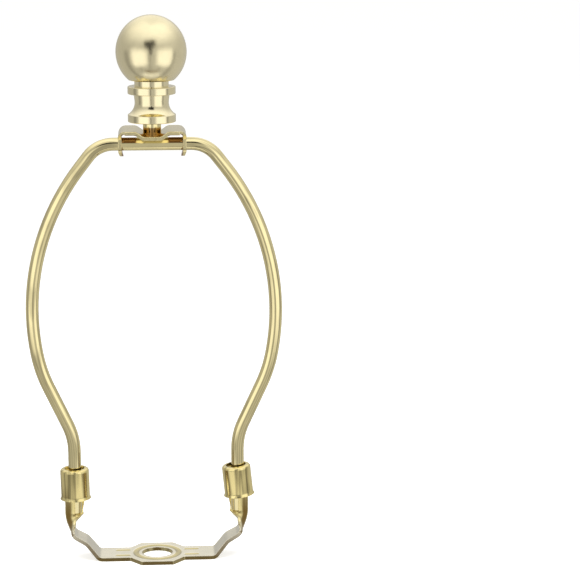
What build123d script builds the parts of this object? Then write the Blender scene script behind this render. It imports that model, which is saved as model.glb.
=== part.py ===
from build123d import *
import os
from math import acos, atan2, cos, degrees, hypot, pi, radians, sin, sqrt, tan

# Lamp harp with a screwed finial. The origin is the centre of the saddle's hole on the saddle's underside.
# X runs across the bow from leg to leg, Z runs up the lamp and the front looks along -Y. Millimetres throughout.

# Overall layout
harp_height = 152.4  # underside of the saddle to the top of the shade plate
leg_spacing = 57.15  # centre to centre of the two legs and posts
wire_d = 4.5

# Bow, by the theoretical corners of its bends
knee_height = 43.9
hip_share = 0.231  # of the bow's height above its knees
hip_width = 79.4
belly_share = 0.642
belly_width = 94.4
knee_radius = 23.0
hip_radius = 48.0
shoulder_radius = 10.75
shoulder_room = 7.05
bend_gap = 0.4

# Saddle sheet
saddle_sheet = 1.35
pipe_d = 10.3
pipe_slip = 0.25
seat_width = 18.8
seat_depth = 21.0
seat_flat = 11.2
arm_width = 11.3
riser_width = 9.8
recess_d = 17.6
recess_depth = 0.28
recess_width = 2.5
recess_floor = 0.7
groove_spacing = 5.8
groove_width = 1.9
groove_floor = 0.5
groove_start = 9.3
groove_end = 14.9
plan_radius = 1.2

# Arm risers, by the theoretical corners of the bent sheet
foot_inset = 8.15
foot_radius = 2.2
rise_height = 6.1
rise_radius = 4.5
riser_slope = 30.0

# Rolled channel posts
post_height = 32.0
wire_seat_height = 16.8
leg_slip = 0.1
front_wrap = 87.0
back_wrap = 158.0
neck_slope = 57.0
neck_bend_radius = 3.0
neck_width = 8.6
heel_radius = 14.0
roll_share = 0.6
lip_low_wrap = 132.0
lip_drop = 0.4
lip_run = 5.5
channel_lead = 0.2

# Locking ferrules
ferrule_wall = 0.6
ferrule_length = 11.0
ferrule_slip = 0.75
ferrule_mouth_d = 7.0
ferrule_rim_flare = 0.4
ferrule_rim_height = 0.9
ferrule_shoulder_radius = 0.75
ferrule_seat_gap = 0.06
left_ferrule_lean = 1.5
right_ferrule_lean = 6.0

# Shade plate
plate_sheet = 1.2
plate_width = 23.2
plate_depth = 18.8
plate_corner_radius = 1.7
plate_plan_radius = 1.6
plate_edge_radius = 0.3
trough_depth = 1.75
trough_floor_width = 6.3
trough_slope_run = 2.4
trough_clearance = 0.08
ear_tip_width = 8.4
ear_below_wire = 4.2
ear_shoulder = 0.8
ear_kink = 0.6
ear_slip = 0.08

# Stud, 1/4-27
stud_d = 6.2
stud_reach = 12.5
stud_slip = 0.05
stud_end_room = 0.6
stud_chamfer = 0.5

# Finial
finial_gap = 2.35
disc_d = 16.4
disc_height = 2.55
flange_d = 16.36
flange_height = 2.6
neck_d = 11.7
spool_height = 12.15
collar_d = 11.7
collar_height = 2.15
ball_width = 24.1
ball_height = 25.0
ball_seat_d = 15.6
edge_round = 0.3
neck_swell = 0.25
waist_share = 0.66

# Values that follow
wire_r = wire_d / 2
leg_x = leg_spacing / 2
plate_under = harp_height - plate_sheet
trough_under = plate_under - trough_depth
wire_top_z = trough_under - trough_clearance - wire_r
ear_mid_x = plate_width / 2 - plate_sheet / 2
finial_z = harp_height + finial_gap
post_inner_r = wire_r + leg_slip
post_outer_r = post_inner_r + saddle_sheet
post_mid_r = (post_inner_r + post_outer_r) / 2
ferrule_inner_r = post_outer_r + ferrule_slip
hole_r = pipe_d / 2 + pipe_slip


def side_corners(points, offset):
    """Corners of the line that runs beside a polyline, to its left by the offset."""
    lines = []
    for (ax, ay), (bx, by) in zip(points, points[1:]):
        run = hypot(bx - ax, by - ay)
        nx, ny = -(by - ay) / run, (bx - ax) / run
        lines.append(((ax + nx * offset, ay + ny * offset), (bx - ax, by - ay)))
    corners = [lines[0][0]]
    for (p, d), (q, e) in zip(lines, lines[1:]):
        cross = d[0] * e[1] - d[1] * e[0]
        step = ((q[0] - p[0]) * e[1] - (q[1] - p[1]) * e[0]) / cross
        corners.append((p[0] + d[0] * step, p[1] + d[1] * step))
    (sx, sy), (dx, dy) = lines[-1]
    corners.append((sx + dx, sy + dy))
    return corners


def strip_face(points, radii, thickness):
    """A bent sheet seen on edge: the polyline is its middle and the radii are those of the middle."""
    sides = []
    for hand in (1, -1):
        bends = []
        for a, b, c, r in zip(points, points[1:], points[2:], radii):
            left = (b[0] - a[0]) * (c[1] - b[1]) - (b[1] - a[1]) * (c[0] - b[0]) > 0
            inside = left == (hand == 1)
            bends.append(r - thickness / 2 if inside else r + thickness / 2)
        corners = side_corners(points, hand * thickness / 2)
        sides.append(FilletPolyline(*corners, radius=bends) if bends else Line(*corners))
    left, right = sides
    return make_face([left, Line(left @ 1, right @ 1), right, Line(right @ 0, left @ 0)])


def stood_up(face, depth):
    """A face drawn as X, height, extruded to both sides of the XZ plane."""
    return extrude(Plane.XZ * face, amount=depth / 2, both=True)


def bow_path():
    """Centre line of the wire: straight runs joined by tangent arcs."""
    shoulder_x = plate_width / 2 + shoulder_room
    rise = wire_top_z - knee_height
    half = [
        (leg_x, wire_seat_height),
        (leg_x, knee_height),
        (hip_width / 2, knee_height + hip_share * rise),
        (belly_width / 2, knee_height + belly_share * rise),
        (shoulder_x, wire_top_z),
    ]
    turns, runs = [], []
    for a, b in zip(half, half[1:]):
        runs.append(hypot(b[0] - a[0], b[1] - a[1]))
        turns.append(atan2(b[1] - a[1], b[0] - a[0]))
    turns.append(pi)
    hip_take = hip_radius * tan(abs(turns[2] - turns[1]) / 2)
    shoulder_take = shoulder_radius * tan(abs(turns[4] - turns[3]) / 2)
    room = min(runs[2] - hip_take, runs[3] - shoulder_take) - bend_gap
    belly_radius = room / tan(abs(turns[3] - turns[2]) / 2)
    bends = [knee_radius, hip_radius, belly_radius, shoulder_radius]
    corners = half + [(-x, z) for x, z in reversed(half)]
    return Plane.XZ * FilletPolyline(*corners, radius=bends + bends[::-1])


def make_bow_wire():
    path = bow_path()
    foot = Plane(origin=path @ 0, z_dir=path % 0)
    return sweep(foot * Circle(wire_r), path=path)


def heel_point(turn):
    """A point of the sheet's middle on the heel's arc, where the sheet has turned up by this angle."""
    x = leg_x + post_mid_r - heel_radius * (1 - sin(turn))
    return x, channel_foot() - heel_radius * cos(turn)


def channel_foot():
    """Level from which the channel stands straight."""
    return wire_seat_height + channel_lead


def lip_wrap(height):
    """How far the back lip wraps round the leg at one level: less at its lower corner."""
    share = min(1, max(0, (height - channel_foot() + lip_drop) / lip_run))
    return lip_low_wrap + (back_wrap - lip_low_wrap) * share


def post_section(step):
    """The rolled strip's section at one step from the flat neck, 0, to the straight channel, 1. Its
    middle climbs the heel's arc, and its front and back halves curl round the leg as it goes."""
    turn = radians(neck_slope + (90 - neck_slope) * step)
    x, z = heel_point(turn)
    level = Plane(origin=(x, 0, z), x_dir=(sin(turn), 0, -cos(turn)), z_dir=(cos(turn), 0, sin(turn)))
    if step == 0:
        return level * Rectangle(saddle_sheet, neck_width)
    grown = min(1, step / roll_share)
    curl = grown * grown * (3 - 2 * grown)
    wrap = lip_wrap(z)
    front_strip = neck_width / 2 + (radians(front_wrap) * post_mid_r - neck_width / 2) * curl
    back_strip = neck_width / 2 + (radians(wrap) * post_mid_r - neck_width / 2) * curl
    radius = front_strip / radians(front_wrap * curl)
    return level * channel_face(radius, front_wrap * curl, degrees(back_strip / radius))


def channel_face(radius, front, back):
    """The section of a rolled strip about a point that lies one radius towards the middle."""
    inner, outer = (
        CenterArc((-radius, 0), radius + side * saddle_sheet / 2, -front, front + back) for side in (-1, 1)
    )
    return make_face([inner, Line(inner @ 1, outer @ 1), outer, Line(outer @ 0, inner @ 0)])


def make_post():
    """The end of the right arm, rolled from a flat neck into a channel round the wire's leg."""
    heel = loft([post_section(step) for step in (0, 0.2, 0.4, 0.6, 1)])
    lip_top = channel_foot() - lip_drop + lip_run
    full = Plane(origin=(leg_x + post_mid_r, 0, lip_top)) * channel_face(post_mid_r, front_wrap, back_wrap)
    return heel + loft([post_section(1), full]) + extrude(full, amount=post_height - lip_top, dir=(0, 0, 1))


def arm_grooves():
    """Two short stiffening grooves pressed side by side in the arm, with sloped flanks and round ends."""
    length = groove_end - groove_start
    middle = (groove_start + groove_end) / 2
    flank = groove_width / 2 - groove_floor / 2
    tool = None
    for y in (-groove_spacing / 2, groove_spacing / 2):
        floor = Pos(middle, y, saddle_sheet - recess_depth) * SlotOverall(length - 2 * flank, groove_floor)
        mouth = Pos(middle, y, saddle_sheet) * SlotOverall(length, groove_width)
        groove = loft([floor, mouth])
        tool = groove if tool is None else tool + groove
    return tool


def recess_tool():
    """The sunk ring about the hole, with a sloped flank on both sides."""
    outer, inner = recess_d / 2, recess_d / 2 - recess_width
    top, low = saddle_sheet, saddle_sheet - recess_depth
    flank = (recess_width - recess_floor) / 2
    points = [(inner, top), (inner + flank, low), (outer - flank, low), (outer, top)]
    return revolve(Plane.XZ * make_face(Polyline(*points, close=True)), axis=Axis.Z)


def make_saddle():
    t = saddle_sheet
    end_x, end_z = heel_point(radians(neck_slope))
    neck_run = neck_bend_radius * tan(radians(neck_slope - riser_slope) / 2) + bend_gap
    bend_x = end_x - neck_run * cos(radians(neck_slope))
    bend_z = end_z - neck_run * sin(radians(neck_slope))
    rise_x = bend_x - (bend_z - rise_height) / tan(radians(riser_slope))
    right = [
        (0, t / 2),
        (leg_x - foot_inset, t / 2),
        (rise_x, rise_height),
        (bend_x, bend_z),
        (end_x, end_z),
    ]
    bends = [foot_radius, rise_radius, neck_bend_radius]
    strip = stood_up(strip_face(right, bends, t), seat_depth)

    # Plan of the blank: an eight-sided seat, then arms that narrow at the risers
    arm, riser, neck = arm_width / 2, riser_width / 2, neck_width / 2
    foot_x = leg_x - foot_inset
    far = leg_x + post_outer_r
    half = [
        (0, seat_depth / 2),
        (seat_flat / 2, seat_depth / 2),
        (seat_width / 2, arm),
        (foot_x - foot_radius, arm),
        (rise_x, riser),
        (bend_x, neck),
        (far, neck),
        (far, -neck),
        (bend_x, -neck),
        (rise_x, -riser),
        (foot_x - foot_radius, -arm),
        (seat_width / 2, -arm),
        (seat_flat / 2, -seat_depth / 2),
        (0, -seat_depth / 2),
    ]
    blank = make_face(Polyline(*half, close=True))
    corners = blank.vertices().filter_by(lambda v: abs(abs(v.X) - seat_flat / 2) < 1e-6)
    corners += blank.vertices().filter_by(lambda v: abs(v.X - seat_width / 2) < 1e-6)
    blank = fillet(corners, plan_radius)
    side = (strip & extrude(blank, amount=post_height)) + make_post()

    body = side + mirror(side, about=Plane.YZ)
    grooves = arm_grooves()
    body -= recess_tool()
    body -= grooves
    body -= mirror(grooves, about=Plane.YZ)
    body -= Cylinder(hole_r, 3 * t)
    return body


def make_ferrule():
    """Locking sleeve, drawn about its own axis with its lower rim at zero."""
    w = ferrule_wall
    side = ferrule_inner_r + w / 2
    profile = [
        (side + ferrule_rim_flare, 0),
        (side, ferrule_rim_height),
        (side, ferrule_length - w / 2),
        (ferrule_mouth_d / 2, ferrule_length - w / 2),
    ]
    flare = atan2(ferrule_rim_flare, ferrule_rim_height)
    rim_bend = 0.4 * ferrule_rim_height / tan(flare / 2)
    wall = strip_face(profile, [rim_bend, ferrule_shoulder_radius], w)
    return revolve(Plane.XZ * wall, axis=Axis.Z)


def place_ferrule(side, lean):
    """Stands a ferrule on its post's top edge. A lean tips its top towards the middle on the right
    side and away from it on the left, and one edge of the post then carries it."""
    tip = radians(lean)
    rest = ferrule_length - ferrule_wall
    lift = post_height + ferrule_seat_gap + post_outer_r * sin(tip)
    half = rest / 2
    shift = -half * sin(tip)
    spot = Location((side * leg_x + shift, 0, lift), (0, -lean, 0)) * Location((0, 0, -rest))
    return spot * make_ferrule()


def make_swivel_plate():
    """A strip bent down into two bored ears, with a cross trough pressed in its middle."""
    t = plate_sheet
    mid = harp_height - t / 2
    tip_z = wire_top_z - ear_below_wire
    floor = trough_floor_width / 2
    slope = floor + trough_slope_run
    right = [
        (0, mid - trough_depth),
        (floor, mid - trough_depth),
        (slope, mid),
        (ear_mid_x, mid),
        (ear_mid_x, wire_top_z - wire_r),
        (ear_mid_x - ear_kink, tip_z),
    ]
    ease = 0.36 * trough_slope_run / tan(atan2(trough_depth, trough_slope_run) / 2) * 0.9
    kink = t + 0.3
    half = strip_face(right, [ease, ease, plate_corner_radius, kink], t)
    strip = stood_up(half, plate_depth)
    body = strip + mirror(strip, about=Plane.YZ)

    # Side view of the ears: full depth at the top, round tips about the wire
    wide, tip = plate_depth / 2, ear_tip_width / 2
    shoulder = harp_height - t / 2
    outline = [
        (-wide, harp_height + t),
        (-wide, shoulder),
        (-tip, wire_top_z + ear_shoulder),
        (-tip, tip_z - t),
        (tip, tip_z - t),
        (tip, wire_top_z + ear_shoulder),
        (wide, shoulder),
        (wide, harp_height + t),
    ]
    side_view = make_face(Polyline(*outline, close=True))
    low = side_view.vertices().filter_by(lambda v: v.Y < tip_z)
    side_view = fillet(low, tip * 0.98)
    side_view = Pos(0, tip_z - side_view.bounding_box().min.Y) * side_view
    ear_x = plate_width / 2 - plate_corner_radius - t / 2
    waste = Pos(0, 0, harp_height) * Box(2 * plate_width, 2 * plate_depth, 8 * ear_below_wire)
    waste -= Box(2 * ear_x, 3 * plate_depth, 3 * harp_height)
    body -= waste - extrude(Plane.YZ * side_view, amount=2 * plate_width, both=True)

    # Rounded plan corners, the wire's bore and the stud's seat
    plan = RectangleRounded(plate_width, plate_depth, plate_plan_radius)
    body &= extrude(plan, amount=2 * harp_height)
    body -= Pos(0, 0, wire_top_z) * (Rot(0, 90, 0) * Cylinder(wire_r + ear_slip, 2 * plate_width))
    body -= Pos(0, 0, stud_floor()) * Cylinder(stud_d / 2, 2 * t, align=(Align.CENTER, Align.CENTER, Align.MIN))

    # Rolled upper edges at the front and back
    def upper(edge):
        spot = edge.center()
        above = spot.Z > harp_height - trough_depth - 0.01 if abs(spot.X) < floor else spot.Z > plate_under + t / 2
        return abs(abs(spot.Y) - wide) < 1e-4 and above

    return fillet(body.edges().filter_by(upper), plate_edge_radius)


def stud_floor():
    """Level of the stud's lower end, half way through the trough's floor."""
    return trough_under + plate_sheet / 2


def make_threaded_stud():
    height = finial_z + stud_reach - stud_floor()
    stud = Cylinder(stud_d / 2, height, align=(Align.CENTER, Align.CENTER, Align.MIN))
    stud = chamfer(stud.edges().sort_by(Axis.Z)[-1], stud_chamfer)
    return Pos(0, 0, stud_floor()) * stud


def make_finial_base():
    """Turned base: a disc, a hollow-sided spool, a flange and the ball's collar."""
    bore = stud_d / 2 + stud_slip
    bore_top = finial_z + stud_reach + stud_end_room
    z0 = finial_z
    z1 = z0 + disc_height
    z2 = z0 + spool_height - flange_height
    z3 = z0 + spool_height
    z4 = z3 + collar_height
    rim, lip, waist = disc_d / 2, flange_d / 2, neck_d / 2
    waist_z = z1 + (z2 - z1) * waist_share
    cove = ThreePointArc(
        (rim, z1), (waist + (rim - waist) * 0.17, z1 + (waist_z - z1) * 0.46), (waist, waist_z)
    )
    lower = make_face([Polyline((waist, waist_z), (0, waist_z), (0, z0), (rim, z0), (rim, z1)), cove])
    lower = fillet(lower.vertices().filter_by(lambda v: v.X > rim - 0.01), edge_round)
    points = [
        (0, waist_z),
        (waist, waist_z),
        (waist + neck_swell, z2 - neck_swell),
        (waist + neck_swell, z2),
        (lip, z2),
        (lip, z3),
        (collar_d / 2, z3),
        (collar_d / 2, z4),
        (0, z4),
    ]
    upper = make_face(Polyline(*points, close=True))
    upper = fillet(upper.vertices().filter_by(lambda v: v.X > lip - 0.01), edge_round)
    turned = revolve(Plane.XZ * lower, axis=Axis.Z) + revolve(Plane.XZ * upper, axis=Axis.Z)
    bored = Pos(0, 0, z0) * Cylinder(bore, bore_top - z0, align=(Align.CENTER, Align.CENTER, Align.MIN))
    return turned - bored


def make_finial_ball():
    """Slightly tall ball, flattened underneath where it is seated on the collar."""
    seat_z = finial_z + spool_height + collar_height
    a, b = ball_width / 2, ball_height / 2
    drop = b * sqrt(1 - (ball_seat_d / ball_width) ** 2)
    low = -degrees(acos(ball_seat_d / ball_width))
    side = EllipticalCenterArc((0, seat_z + drop), a, b, start_angle=low, arc_size=90 - low)
    face = make_face([side, Line(side @ 1, (0, seat_z)), Line((0, seat_z), side @ 0)])
    return revolve(Plane.XZ * face, axis=Axis.Z)


def main():
    os.makedirs("parts", exist_ok=True)
    nodes = {
        "saddle": make_saddle(),
        "bow_wire": make_bow_wire(),
        "left_ferrule": place_ferrule(-1, left_ferrule_lean),
        "right_ferrule": place_ferrule(1, right_ferrule_lean),
        "swivel_plate": make_swivel_plate(),
        "threaded_stud": make_threaded_stud(),
        "finial_base": make_finial_base(),
        "finial_ball": make_finial_ball(),
    }
    for name, shape in nodes.items():
        export_step(shape, f"parts/{name}.step")


main()
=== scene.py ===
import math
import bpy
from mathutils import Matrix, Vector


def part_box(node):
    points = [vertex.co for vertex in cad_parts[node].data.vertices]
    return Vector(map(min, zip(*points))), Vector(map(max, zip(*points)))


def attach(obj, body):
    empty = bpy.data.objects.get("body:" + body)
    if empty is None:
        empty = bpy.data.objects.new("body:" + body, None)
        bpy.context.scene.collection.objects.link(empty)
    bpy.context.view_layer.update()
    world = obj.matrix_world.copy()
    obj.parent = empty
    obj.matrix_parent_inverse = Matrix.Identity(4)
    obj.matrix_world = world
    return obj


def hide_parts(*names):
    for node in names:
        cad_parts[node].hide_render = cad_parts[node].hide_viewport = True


bl_info = {
    "name": "Lamp harp",
    "version": (1, 0, 0),
    "blender": (4, 5, 0),
    "location": "View3D > Sidebar > Lamp harp",
    "description": "Finishes and lights a brass lamp harp with its saddle and finial",
    "category": "Object",
}

import bmesh
import bpy
from mathutils import Vector

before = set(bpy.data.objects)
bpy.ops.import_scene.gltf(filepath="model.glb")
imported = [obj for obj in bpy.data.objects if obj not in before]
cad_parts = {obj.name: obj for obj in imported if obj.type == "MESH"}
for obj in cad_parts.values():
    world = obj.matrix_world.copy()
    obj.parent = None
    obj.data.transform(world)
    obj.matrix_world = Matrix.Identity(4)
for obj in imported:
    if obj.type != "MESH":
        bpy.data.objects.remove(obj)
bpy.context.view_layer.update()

MM = 0.001

# The stud, from its node's box, and its thread of 27 turns to the inch
STUD_LOW, STUD_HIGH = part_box("threaded_stud")
STUD_RADIUS = (STUD_HIGH[0] - STUD_LOW[0]) / 2
STUD_SIDES = 64
STUD_BEVEL = 0.2 * MM
NECK_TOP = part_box("finial_base")[0][2]
THREAD_PITCH = 25.4 * MM / 27
THREAD_DEPTH = 0.5 * MM
THREAD_START = NECK_TOP + 0.6 * THREAD_PITCH
THREAD_STEPS = 48

# Heights at which a finish changes and painted shade begins, and the plate's two hollows over the wire, where
# painted shade lies
POST_GOLD_FROM, POST_GOLD_TO = 9.0 * MM, 16.0 * MM
# The seat's painted shade grows from the first height down to the second
SEAT_SHADE_START, SEAT_SHADE_FULL = 1.34 * MM, 1.20 * MM
# Where the painted shade lies under the plate: below these heights, within the hollows over the wire
HOLLOW_SHADE_START, HOLLOW_SHADE_FULL = 151.40 * MM, 151.25 * MM
HOLLOW_MIDDLE, HOLLOW_HALF, HOLLOW_EDGE = 7.9 * MM, 2.5 * MM, 0.3 * MM
# The stud's tarnish and painted shade grow from the first height down to the second
STUD_TARNISH_SHADE_START, STUD_TARNISH_SHADE_FULL = 153.2 * MM, 152.7 * MM

# How fine the finishes' patterns are
CLOUD_SCALE = 140.0
WEAR_SCALE = 420.0
GRAIN_SCALE = 260.0
# How fine the painted reflection streaks on the sleeves and the wire are
SLEEVE_STREAK_SCALE = 620.0
WIRE_STREAK_SCALE = 1500.0


class LampHarpMetal(bpy.types.PropertyGroup):
    """Colours and polish of the plated parts."""

    plate_colour: bpy.props.FloatVectorProperty(
        name="Plating",
        description="Colour of the pale brass plating on the sheet and the wire",
        subtype="COLOR",
        size=3,
        min=0.0,
        max=1.0,
        default=(0.90, 0.79, 0.44),
    )
    deep_colour: bpy.props.FloatVectorProperty(
        name="Deep plating",
        description="Colour of the sleeves and of the saddle's rolled posts, which is the deepest",
        subtype="COLOR",
        size=3,
        min=0.0,
        max=1.0,
        default=(0.86, 0.73, 0.34),
    )
    saddle_colour: bpy.props.FloatVectorProperty(
        name="Saddle plating",
        description="Colour of the saddle's flat seat and arms, whose plating is the palest",
        subtype="COLOR",
        size=3,
        min=0.0,
        max=1.0,
        default=(0.90, 0.85, 0.68),
    )
    ball_colour: bpy.props.FloatVectorProperty(
        name="Ball plating",
        description="Colour of the finial's ball and base",
        subtype="COLOR",
        size=3,
        min=0.0,
        max=1.0,
        default=(0.90, 0.81, 0.53),
    )
    polish: bpy.props.FloatProperty(
        name="Roughness",
        description="Roughness of the polished plating",
        subtype="FACTOR",
        min=0.02,
        max=0.6,
        default=0.13,
    )
    satin: bpy.props.FloatProperty(
        name="Ball roughness",
        description="Roughness of the ball, which is less polished",
        subtype="FACTOR",
        min=0.02,
        max=0.6,
        default=0.22,
    )


class LampHarpStage(bpy.types.PropertyGroup):
    """Camera and lights."""

    focal_length: bpy.props.FloatProperty(
        name="Focal length",
        description="Camera focal length in millimetres, on a 36 mm sensor",
        min=20.0,
        max=400.0,
        default=136.0,
    )
    camera_place: bpy.props.FloatVectorProperty(
        name="Camera place",
        description="Where the camera stands",
        subtype="TRANSLATION",
        unit="LENGTH",
        size=3,
        default=(-0.00222, -0.744, 0.24935),
    )
    look_down: bpy.props.FloatProperty(
        name="Look down",
        description="How far the camera looks down",
        subtype="ANGLE",
        unit="ROTATION",
        default=math.radians(11.656),
    )
    look_right: bpy.props.FloatProperty(
        name="Look right",
        description="How far the camera turns to the right",
        subtype="ANGLE",
        unit="ROTATION",
        default=math.radians(3.794),
    )
    key_power: bpy.props.FloatProperty(
        name="Side lights",
        description="Power of the boxes at both sides of the camera",
        unit="POWER",
        min=0.0,
        default=2.2,
    )
    top_power: bpy.props.FloatProperty(
        name="Top light",
        description="Power of the box overhead",
        unit="POWER",
        min=0.0,
        default=3.0,
    )


def deselect():
    bpy.ops.object.select_all(action="DESELECT")


def new_material(name):
    material = bpy.data.materials.new(name)
    material.use_nodes = True
    material.node_tree.nodes.clear()
    return material, material.node_tree.nodes, material.node_tree.links


def feed(links, socket, value):
    """Gives a node's input a constant or another node's result."""
    if isinstance(value, (int, float)):
        socket.default_value = value
    else:
        links.new(value, socket)


def reckon(nodes, links, operation, *values):
    """The result of a Math node."""
    node = nodes.new("ShaderNodeMath")
    node.operation = operation
    for socket, value in zip(node.inputs, values):
        feed(links, socket, value)
    return node.outputs[0]


def product(nodes, links, first, second):
    return reckon(nodes, links, "MULTIPLY", first, second)


def highest(nodes, links, first, second):
    return reckon(nodes, links, "MAXIMUM", first, second)


def split(nodes, links, vector):
    node = nodes.new("ShaderNodeSeparateXYZ")
    links.new(vector, node.inputs[0])
    return node.outputs


def spread(nodes, links, value, low, high, to_low, to_high, interpolation="LINEAR"):
    """Carries a value over from one range to another, and no further than its ends."""
    node = nodes.new("ShaderNodeMapRange")
    node.interpolation_type = interpolation
    node.inputs["From Min"].default_value = low
    node.inputs["From Max"].default_value = high
    node.inputs["To Min"].default_value = to_low
    node.inputs["To Max"].default_value = to_high
    links.new(value, node.inputs["Value"])
    return node.outputs["Result"]


def smooth_step(nodes, links, value, low, high, to_low=0.0, to_high=1.0):
    return spread(nodes, links, value, low, high, to_low, to_high, "SMOOTHSTEP")


def window(nodes, links, value, centre, half, edge):
    """One inside a band about the centre and nought outside it, with soft edges."""
    away = reckon(nodes, links, "SUBTRACT", value, centre)
    size = reckon(nodes, links, "ABSOLUTE", away)
    return smooth_step(nodes, links, size, half + edge, half - edge)


def mixed(nodes, links, factor, low, high):
    """A number between two others."""
    node = nodes.new("ShaderNodeMix")
    links.new(factor, node.inputs["Factor"])
    feed(links, node.inputs["A"], low)
    feed(links, node.inputs["B"], high)
    return node.outputs["Result"]


def blended(nodes, links, factor, first, second):
    """A colour between two others."""
    node = nodes.new("ShaderNodeMix")
    node.data_type = "RGBA"
    links.new(factor, node.inputs["Factor"])
    links.new(first, node.inputs[6])
    links.new(second, node.inputs[7])
    return node.outputs[2]


def object_space(nodes, links, scale=(1.0, 1.0, 1.0)):
    """Coordinates of the piece's own space, scaled."""
    place = nodes.new("ShaderNodeTexCoord")
    mapping = nodes.new("ShaderNodeMapping")
    mapping.inputs["Scale"].default_value = scale
    links.new(place.outputs["Object"], mapping.inputs["Vector"])
    return mapping.outputs["Vector"]


def noise(nodes, links, vector, scale, detail, roughness):
    node = nodes.new("ShaderNodeTexNoise")
    node.inputs["Scale"].default_value = scale
    node.inputs["Detail"].default_value = detail
    node.inputs["Roughness"].default_value = roughness
    links.new(vector, node.inputs["Vector"])
    return node.outputs["Fac"]


def ramp(nodes, links, value, stops):
    node = nodes.new("ShaderNodeValToRGB")
    for element, (place, colour) in zip(node.color_ramp.elements, stops):
        element.position = place
        element.color = (*colour, 1.0)
    links.new(value, node.inputs["Fac"])
    return node.outputs["Color"]


def tone(colour, factor):
    return tuple(min(1.0, c * factor) for c in colour)


def clouded(nodes, links, base, colour, cloud):
    """The plating's colour with a faint clouding."""
    clouds = noise(nodes, links, base, CLOUD_SCALE, 4.0, 0.55)
    return ramp(nodes, links, clouds, [(0.25, tone(colour, 1 - cloud)), (0.75, tone(colour, 1 + cloud))])


def plated_metal(name, colour, roughness, grain, grain_height, rounding=0.0, tint=None):
    """Polished plating over stamped or drawn brass: faint clouding of the colour, uneven polish
    and a shallow ripple of the metal under it. The grain gives the lay of the drawing lines, the
    rounding eases a sheet's cut edges, and the tint may change the colour from place to place."""
    material, nodes, links = new_material(name)
    shader = nodes.new("ShaderNodeBsdfPrincipled")
    output = nodes.new("ShaderNodeOutputMaterial")
    shader.inputs["Metallic"].default_value = 1.0
    base = object_space(nodes, links)
    plating = clouded(nodes, links, base, colour, 0.06)
    if tint:
        plating = tint(nodes, links, base, plating)
    links.new(plating, shader.inputs["Base Color"])
    wear = noise(nodes, links, base, WEAR_SCALE, 5.0, 0.6)
    uneven = spread(nodes, links, wear, 0.3, 0.7, roughness * 0.8, roughness * 1.25)
    links.new(uneven, shader.inputs["Roughness"])
    bump = nodes.new("ShaderNodeBump")
    bump.inputs["Strength"].default_value = 0.35
    bump.inputs["Distance"].default_value = grain_height
    lay = object_space(nodes, links, grain)
    links.new(noise(nodes, links, lay, GRAIN_SCALE, 2.0, 0.5), bump.inputs["Height"])
    if rounding:
        ease = nodes.new("ShaderNodeBevel")
        ease.samples = 6
        ease.inputs["Radius"].default_value = rounding
        links.new(ease.outputs["Normal"], bump.inputs["Normal"])
    links.new(bump.outputs["Normal"], shader.inputs["Normal"])
    links.new(shader.outputs["BSDF"], output.inputs["Surface"])
    return material


def finish_node(name, material):
    """Puts a material on every slot of a node whose shape stays."""
    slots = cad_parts[name].data.materials
    if not slots:
        slots.append(material)
    for index in range(len(slots)):
        slots[index] = material


def saddle_tint_and_shade(deep):
    """Deeper gold up the rolled posts, and painted shade, a darker gold, low in the pressed ring, the
    grooves and on the seat's cut edges."""

    def tint(nodes, links, base, plating):
        height = split(nodes, links, base)["Z"]
        posts = smooth_step(nodes, links, height, POST_GOLD_FROM, POST_GOLD_TO)
        plating = blended(nodes, links, posts, plating, clouded(nodes, links, base, deep, 0.08))
        # Painted shade: darker gold below the seat's top face, in the pressed ring, the grooves and on the cut
        # edges
        sunk_shade = smooth_step(nodes, links, height, SEAT_SHADE_START, SEAT_SHADE_FULL, 0.0, 0.9)
        return blended(nodes, links, sunk_shade, plating, clouded(nodes, links, base, tone(deep, 0.68), 0.10))

    return tint


class LAMPHARP_OT_saddle(bpy.types.Operator):
    """Plate the stamped saddle."""

    bl_idname = "lampharp.saddle"
    bl_label = "Saddle finish"

    def execute(self, context):
        metal = context.scene.lamp_harp_metal
        plating = plated_metal(
            "Pale plated sheet",
            metal.saddle_colour,
            metal.polish * 1.3,
            grain=(1.0, 3.0, 1.0),
            grain_height=0.05 * MM,
            rounding=0.25 * MM,
            tint=saddle_tint_and_shade(metal.deep_colour),
        )
        finish_node("saddle", plating)
        return {"FINISHED"}


def drawn_reflection_streaks(colour, deepest, scale, along):
    """Painted reflection: olive lines along a drawn tube or wire, standing in for dark bands of the studio
    that it mirrors. They change slowly in the directions that the last value names with a small share."""

    def tint(nodes, links, base, plating):
        lay = object_space(nodes, links, along)
        # Painted reflection: olive streaks that stand in for the studio's dark bands mirrored along the metal
        lines = noise(nodes, links, lay, scale, 2.0, 0.6)
        reflected_streak = smooth_step(nodes, links, lines, 0.50, 0.64, 0.0, deepest)
        return blended(nodes, links, reflected_streak, plating, clouded(nodes, links, base, tone(colour, 0.42), 0.10))

    return tint


class LAMPHARP_OT_bow(bpy.types.Operator):
    """Plate the bent wire bow."""

    bl_idname = "lampharp.bow"
    bl_label = "Bow wire finish"

    def execute(self, context):
        metal = context.scene.lamp_harp_metal
        wire = plated_metal(
            "Plated drawn wire",
            metal.plate_colour,
            metal.polish * 0.65,
            grain=(0.2, 4.0, 0.2),
            grain_height=0.03 * MM,
            tint=drawn_reflection_streaks(metal.plate_colour, 0.5, WIRE_STREAK_SCALE, (0.03, 1.0, 0.03)),
        )
        finish_node("bow_wire", wire)
        return {"FINISHED"}


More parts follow.
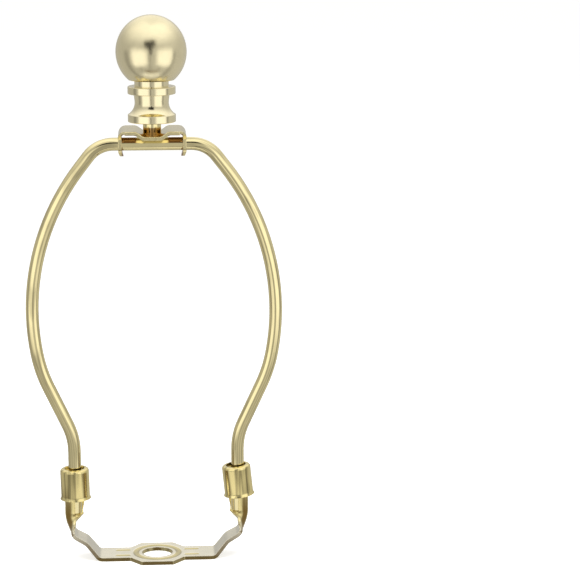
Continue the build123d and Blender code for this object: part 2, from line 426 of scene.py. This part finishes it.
class LAMPHARP_OT_ferrules(bpy.types.Operator):
    """Plate the two sliding ferrules."""

    bl_idname = "lampharp.ferrules"
    bl_label = "Ferrule finish"

    def execute(self, context):
        metal = context.scene.lamp_harp_metal
        sleeve = plated_metal(
            "Plated drawn sleeve",
            metal.deep_colour,
            metal.polish,
            grain=(2.4, 2.4, 0.08),
            grain_height=0.3 * MM,
            tint=drawn_reflection_streaks(metal.deep_colour, 0.75, SLEEVE_STREAK_SCALE, (1.0, 1.0, 0.03)),
        )
        for name in ("left_ferrule", "right_ferrule"):
            finish_node(name, sleeve)
        return {"FINISHED"}


def plate_underside_shade(nodes, links, base, plating):
    """Painted shade: brown on the underside over the wire, in the hollows between the sheet and the wire."""
    axes = split(nodes, links, base)
    away = reckon(nodes, links, "ABSOLUTE", axes["X"])
    hollow = window(nodes, links, away, HOLLOW_MIDDLE, HOLLOW_HALF, HOLLOW_EDGE)
    under = smooth_step(nodes, links, axes["Z"], HOLLOW_SHADE_START, HOLLOW_SHADE_FULL)
    # Painted shade, brown, in the hollows between the plate and the wire
    brown = clouded(nodes, links, base, (0.30, 0.16, 0.06), 0.15)
    return blended(nodes, links, product(nodes, links, hollow, under), plating, brown)


class LAMPHARP_OT_plate(bpy.types.Operator):
    """Plate the swivel plate."""

    bl_idname = "lampharp.plate"
    bl_label = "Swivel plate finish"

    def execute(self, context):
        metal = context.scene.lamp_harp_metal
        sheet = plated_metal(
            "Plated swivel sheet",
            metal.plate_colour,
            metal.polish,
            grain=(1.0, 1.0, 1.0),
            grain_height=0.4 * MM,
            rounding=0.3 * MM,
            tint=plate_underside_shade,
        )
        finish_node("swivel_plate", sheet)
        return {"FINISHED"}


def stud_tarnish_and_shade(nodes, links, base, plating):
    """Bright where the stud is plain under the finial, and brown down in the trough, partly tarnish and partly
    painted shade.
    """
    height = split(nodes, links, base)["Z"]
    # Brown down in the trough: partly tarnish, partly painted shade
    brown = clouded(nodes, links, base, (0.34, 0.20, 0.07), 0.2)
    return blended(nodes, links, smooth_step(nodes, links, height, STUD_TARNISH_SHADE_START, STUD_TARNISH_SHADE_FULL), plating, brown)


def select_points(piece, chosen):
    """Selects the points of the mesh in edit mode whose place passes the test."""
    mesh = bmesh.from_edit_mesh(piece.data)
    mesh.select_mode = {"VERT"}
    for vert in mesh.verts:
        vert.select_set(chosen(vert.co))
    mesh.select_flush(True)
    bmesh.update_edit_mesh(piece.data)


def stud_core(context):
    """The stud's plain neck, and above it the core under the thread."""
    low, high = STUD_LOW[2], STUD_HIGH[2]
    deselect()
    bpy.ops.mesh.primitive_cylinder_add(
        vertices=STUD_SIDES, radius=STUD_RADIUS, depth=high - low, location=(0.0, 0.0, (low + high) / 2)
    )
    core = context.active_object
    bpy.ops.object.transform_apply(location=True, rotation=True, scale=True)
    bpy.ops.object.mode_set(mode="EDIT")
    for level in (NECK_TOP, NECK_TOP + THREAD_DEPTH):
        bpy.ops.mesh.select_all(action="SELECT")
        bpy.ops.mesh.bisect(plane_co=(0.0, 0.0, level), plane_no=(0.0, 0.0, 1.0))
    select_points(core, lambda spot: spot.z > NECK_TOP + THREAD_DEPTH / 2)
    share = 1.0 - THREAD_DEPTH / STUD_RADIUS
    bpy.ops.transform.resize(value=(share, share, 1.0), center_override=(0.0, 0.0, 0.0))
    select_points(core, lambda spot: spot.z > high - STUD_BEVEL)
    bpy.ops.mesh.bevel(offset=STUD_BEVEL, segments=1)
    bpy.ops.object.mode_set(mode="OBJECT")
    return core


def stud_thread(context):
    """The thread's ridge: a three-sided profile screwed up round the stud, filled at both ends."""
    deselect()
    bpy.ops.mesh.primitive_circle_add(
        vertices=3,
        radius=THREAD_DEPTH,
        location=(STUD_RADIUS - THREAD_DEPTH, 0.0, THREAD_START),
        rotation=(math.pi / 2, math.pi / 2, 0.0),
    )
    ridge = context.active_object
    bpy.ops.object.transform_apply(location=True, rotation=True, scale=True)
    screw = ridge.modifiers.new("Screw", "SCREW")
    screw.screw_offset = THREAD_PITCH
    screw.iterations = int((STUD_HIGH[2] - THREAD_START) / THREAD_PITCH - 0.5)
    screw.steps = screw.render_steps = THREAD_STEPS
    bpy.ops.object.modifier_apply(modifier="Screw")
    bpy.ops.object.mode_set(mode="EDIT")
    bpy.ops.mesh.select_all(action="SELECT")
    bpy.ops.mesh.fill_holes(sides=0)
    bpy.ops.mesh.select_all(action="SELECT")
    bpy.ops.mesh.normals_make_consistent(inside=False)
    bpy.ops.object.mode_set(mode="OBJECT")
    return ridge


class LAMPHARP_OT_stud(bpy.types.Operator):
    """Cut the stud's thread and finish the stud."""

    bl_idname = "lampharp.stud"
    bl_label = "Stud"

    def execute(self, context):
        metal = context.scene.lamp_harp_metal
        core, ridge = stud_core(context), stud_thread(context)
        deselect()
        ridge.select_set(True)
        core.select_set(True)
        context.view_layer.objects.active = core
        bpy.ops.object.join()
        bpy.ops.object.shade_smooth_by_angle(angle=math.radians(30))
        core.name = "stud_with_thread"
        brass = plated_metal(
            "Turned stud brass",
            metal.plate_colour,
            metal.polish,
            grain=(1.0, 1.0, 8.0),
            grain_height=0.03 * MM,
            tint=stud_tarnish_and_shade,
        )
        core.data.materials.append(brass)
        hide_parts("threaded_stud")
        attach(core, "shade_top")
        return {"FINISHED"}


class LAMPHARP_OT_finial(bpy.types.Operator):
    """Plate the turned base and the satin ball of the finial."""

    bl_idname = "lampharp.finial"
    bl_label = "Finial finish"

    def execute(self, context):
        metal = context.scene.lamp_harp_metal
        spool = plated_metal(
            "Plated turned spool",
            metal.ball_colour,
            metal.polish,
            grain=(1.0, 1.0, 6.0),
            grain_height=0.03 * MM,
        )
        ball = plated_metal(
            "Satin plated ball",
            metal.ball_colour,
            metal.satin,
            grain=(1.0, 1.0, 3.0),
            grain_height=0.03 * MM,
        )
        finish_node("finial_base", spool)
        finish_node("finial_ball", ball)
        return {"FINISHED"}


def side_angle(nodes, links, across, back):
    """Angle to either side of the camera's line of sight, in radians from nought to pi."""
    line_of_sight = 0.1
    towards = product(nodes, links, back, -1.0)
    turn = reckon(nodes, links, "ARCTAN2", across, towards)
    return reckon(nodes, links, "ABSOLUTE", reckon(nodes, links, "ADD", turn, line_of_sight))


def studio_level(nodes, links, direction):
    """How bright the studio is in each direction: white overhead and behind, grey at the sides,
    with a dark band on each side below the horizon and a dark stand under the camera."""
    side_level, top_level, backdrop_level, band_level, stand_level = 0.56, 1.32, 1.05, 0.30, 0.24
    left_share, right_share = 0.86, 1.03
    height = direction["Z"]
    turn = side_angle(nodes, links, direction["X"], direction["Y"])
    level = smooth_step(nodes, links, height, 0.20, 1.0, side_level, top_level)
    level = product(nodes, links, level, spread(nodes, links, direction["X"], -1.0, 1.0, left_share, right_share))

    behind = smooth_step(nodes, links, turn, 2.2, 2.8)
    backdrop = smooth_step(nodes, links, height, 0.05, 0.60)
    level = mixed(nodes, links, product(nodes, links, behind, backdrop), level, backdrop_level)

    below = smooth_step(nodes, links, height, 0.10, -0.05)
    for middle, half in ((0.68, 0.08), (1.45, 0.14)):
        band = window(nodes, links, turn, middle, half, 0.08)
        level = mixed(nodes, links, product(nodes, links, band, below), level, band_level)

    stand = window(nodes, links, turn, 0.0, 0.05, 0.04)
    low = smooth_step(nodes, links, height, 0.05, -0.05)
    return mixed(nodes, links, product(nodes, links, stand, low), level, stand_level)


def studio_world(scene):
    """White to the eye and through glass, a graded studio to the metal, and plain light on the rest."""
    world = bpy.data.worlds.new("White surroundings")
    scene.world = world
    world.use_nodes = True
    nodes, links = world.node_tree.nodes, world.node_tree.links
    nodes.clear()
    rays = nodes.new("ShaderNodeLightPath")
    place = nodes.new("ShaderNodeTexCoord")
    studio = studio_level(nodes, links, split(nodes, links, place.outputs["Generated"]))
    shades = {}
    for name, colour, strength in (
        ("seen", (1.0, 1.0, 1.0), 1.0),
        ("mirrored", (1.0, 0.99, 0.97), studio),
        ("lit", (1.0, 0.985, 0.96), 0.5),
    ):
        shade = nodes.new("ShaderNodeBackground")
        shade.inputs["Color"].default_value = (*colour, 1.0)
        feed(links, shade.inputs["Strength"], strength)
        shades[name] = shade.outputs[0]
    metal = nodes.new("ShaderNodeMixShader")
    links.new(rays.outputs["Is Glossy Ray"], metal.inputs[0])
    links.new(shades["lit"], metal.inputs[1])
    links.new(shades["mirrored"], metal.inputs[2])
    choose = nodes.new("ShaderNodeMixShader")
    clear = highest(nodes, links, rays.outputs["Is Camera Ray"], rays.outputs["Is Transmission Ray"])
    links.new(clear, choose.inputs[0])
    links.new(metal.outputs[0], choose.inputs[1])
    links.new(shades["seen"], choose.inputs[2])
    output = nodes.new("ShaderNodeOutputWorld")
    links.new(choose.outputs[0], output.inputs["Surface"])


def mirror_board(context, name, place, turned, size, colour, strength=1.0, taper=0.0):
    """A board or card that only the metal mirrors, soft at its edges. A taper narrows its lower end."""
    deselect()
    bpy.ops.mesh.primitive_plane_add(size=1.0, location=place, rotation=turned)
    board = context.active_object
    board.name = name
    board.scale = (*size, 1.0)
    material, nodes, links = new_material(name)
    spot = nodes.new("ShaderNodeTexCoord")
    axes = split(nodes, links, spot.outputs["Object"])
    widths = spread(nodes, links, axes["Y"], -0.5, 0.5, 1.0 - taper, 1.0)
    share = reckon(nodes, links, "DIVIDE", axes["X"], widths)
    across = window(nodes, links, share, 0.0, 0.37, 0.13)
    upright = window(nodes, links, axes["Y"], 0.0, 0.36, 0.14)
    glow = nodes.new("ShaderNodeEmission")
    glow.inputs["Color"].default_value = (*colour, 1.0)
    glow.inputs["Strength"].default_value = strength
    clear = nodes.new("ShaderNodeBsdfTransparent")
    both = nodes.new("ShaderNodeMixShader")
    links.new(product(nodes, links, across, upright), both.inputs[0])
    links.new(clear.outputs[0], both.inputs[1])
    links.new(glow.outputs[0], both.inputs[2])
    output = nodes.new("ShaderNodeOutputMaterial")
    links.new(both.outputs[0], output.inputs["Surface"])
    board.data.materials.append(material)
    board.visible_camera = False
    board.visible_diffuse = False
    board.visible_transmission = False
    board.visible_shadow = False


def mirrored_studio(context):
    """What stands near the harp for its metal to mirror: two white boards, brown cards low at its
    sides and in front, a white card on the table, and the dark room with a tripod at the camera."""
    white, brown, black = (1.0, 0.99, 0.97), (0.18, 0.135, 0.08), (0.03, 0.03, 0.03)
    quarter = math.pi / 2
    flat, facing, leaning = (0.0, 0.0, 0.0), (quarter, 0.0, 0.0), (quarter, -0.16, 0.0)
    distance, middle = 0.20, 0.118
    for name, turn in (("Left board", -0.69), ("Right board", 0.79)):
        spot = (distance * math.sin(turn), -distance * math.cos(turn), middle)
        mirror_board(context, name, spot, (quarter, 0.0, turn), (0.27, 0.265), white, strength=1.2)
    for name, side in (("Left card", -1), ("Right card", 1)):
        spot = (side * 0.062, 0.0, -0.003)
        mirror_board(context, name, spot, (quarter, 0.0, side * quarter), (0.08, 0.042), brown)
    mirror_board(context, "Dark room", (-0.045, -0.60, 0.51), leaning, (0.70, 0.44), black, taper=0.35)
    mirror_board(context, "Tripod", (-0.003, -0.075, 0.187), leaning, (0.033, 0.046), black, taper=0.95)
    mirror_board(context, "Brown card", (0.0, -0.15, -0.08), facing, (0.24, 0.13), brown)
    mirror_board(context, "Table card", (0.0, -0.067, -0.001), flat, (0.20, 0.085), white, strength=0.95)


def pale_floor(context):
    """A plain pale floor that reads as white where it is lit and keeps the shadow."""
    deselect()
    bpy.ops.mesh.primitive_plane_add(size=6.0, location=(0.0, 0.0, 0.0))
    floor = context.active_object
    floor.name = "Floor"
    material, nodes, links = new_material("Pale floor")
    rays = nodes.new("ShaderNodeLightPath")
    cover = nodes.new("ShaderNodeBsdfDiffuse")
    cover.inputs["Color"].default_value = (0.9, 0.9, 0.89, 1.0)
    glow = nodes.new("ShaderNodeEmission")
    seen = highest(nodes, links, rays.outputs["Is Camera Ray"], rays.outputs["Is Transmission Ray"])
    far = nodes.new("ShaderNodeVectorMath")
    far.operation = "LENGTH"
    links.new(object_space(nodes, links), far.inputs[0])
    level = smooth_step(nodes, links, far.outputs["Value"], 0.12, 0.9, 0.45, 0.56)
    links.new(product(nodes, links, seen, level), glow.inputs["Strength"])
    both = nodes.new("ShaderNodeAddShader")
    links.new(cover.outputs[0], both.inputs[0])
    links.new(glow.outputs[0], both.inputs[1])
    output = nodes.new("ShaderNodeOutputMaterial")
    links.new(both.outputs[0], output.inputs["Surface"])
    floor.data.materials.append(material)
    floor.visible_glossy = False


def area_light(scene, name, place, size, power):
    """A square lamp that looks at the middle of the harp. The metal mirrors the boards in its stead."""
    light = bpy.data.lights.new(name, "AREA")
    light.shape = "SQUARE"
    light.size = size
    light.energy = power
    lamp = bpy.data.objects.new(name, light)
    scene.collection.objects.link(lamp)
    lamp.location = place
    lamp.rotation_euler = (Vector((0.0, 0.0, 0.08)) - Vector(place)).to_track_quat("-Z", "Y").to_euler()
    lamp.visible_glossy = False


def photograph_camera(scene, stage):
    """The camera at the photograph's angle."""
    lens = bpy.data.cameras.new("Photograph camera")
    lens.lens = stage.focal_length
    lens.sensor_width = 36.0
    lens.clip_start = 0.01
    lens.clip_end = 20.0
    camera = bpy.data.objects.new("Photograph camera", lens)
    scene.collection.objects.link(camera)
    camera.location = stage.camera_place
    camera.rotation_euler = (math.pi / 2 - stage.look_down, 0.0, -stage.look_right)
    scene.camera = camera


class LAMPHARP_OT_stage(bpy.types.Operator):
    """Set up the camera, the lights, the white surroundings and the floor."""

    bl_idname = "lampharp.stage"
    bl_label = "Stage"

    def execute(self, context):
        scene = context.scene
        stage = scene.lamp_harp_stage
        scene.view_settings.view_transform = "Standard"
        photograph_camera(scene, stage)
        for name, side in (("Left box", -1), ("Right box", 1)):
            area_light(scene, name, (side * 0.5, -0.5, 0.45), 0.4, stage.key_power)
        area_light(scene, "Top box", (0.0, -0.05, 0.80), 0.7, stage.top_power)
        studio_world(scene)
        mirrored_studio(context)
        pale_floor(context)
        return {"FINISHED"}


STEPS = ("saddle", "bow", "ferrules", "plate", "stud", "finial", "stage")


class LAMPHARP_PT_panel(bpy.types.Panel):
    """Lists the harp's pieces, its finish and the stage."""

    bl_idname = "LAMPHARP_PT_panel"
    bl_label = "Lamp harp"
    bl_space_type = "VIEW_3D"
    bl_region_type = "UI"
    bl_category = "Lamp harp"

    def draw(self, context):
        layout = self.layout
        for step in STEPS:
            layout.operator(f"lampharp.{step}")
        for group in (context.scene.lamp_harp_metal, context.scene.lamp_harp_stage):
            box = layout.box()
            for name in group.__annotations__:
                box.prop(group, name)


CLASSES = (
    LampHarpMetal,
    LampHarpStage,
    LAMPHARP_OT_saddle,
    LAMPHARP_OT_bow,
    LAMPHARP_OT_ferrules,
    LAMPHARP_OT_plate,
    LAMPHARP_OT_stud,
    LAMPHARP_OT_finial,
    LAMPHARP_OT_stage,
    LAMPHARP_PT_panel,
)


def register():
    for cls in CLASSES:
        bpy.utils.register_class(cls)
    bpy.types.Scene.lamp_harp_metal = bpy.props.PointerProperty(type=LampHarpMetal)
    bpy.types.Scene.lamp_harp_stage = bpy.props.PointerProperty(type=LampHarpStage)


def unregister():
    del bpy.types.Scene.lamp_harp_stage
    del bpy.types.Scene.lamp_harp_metal
    for cls in reversed(CLASSES):
        bpy.utils.unregister_class(cls)


def main():
    register()
    for step in STEPS:
        getattr(bpy.ops.lampharp, step)()


if __name__ == "__main__":
    main()
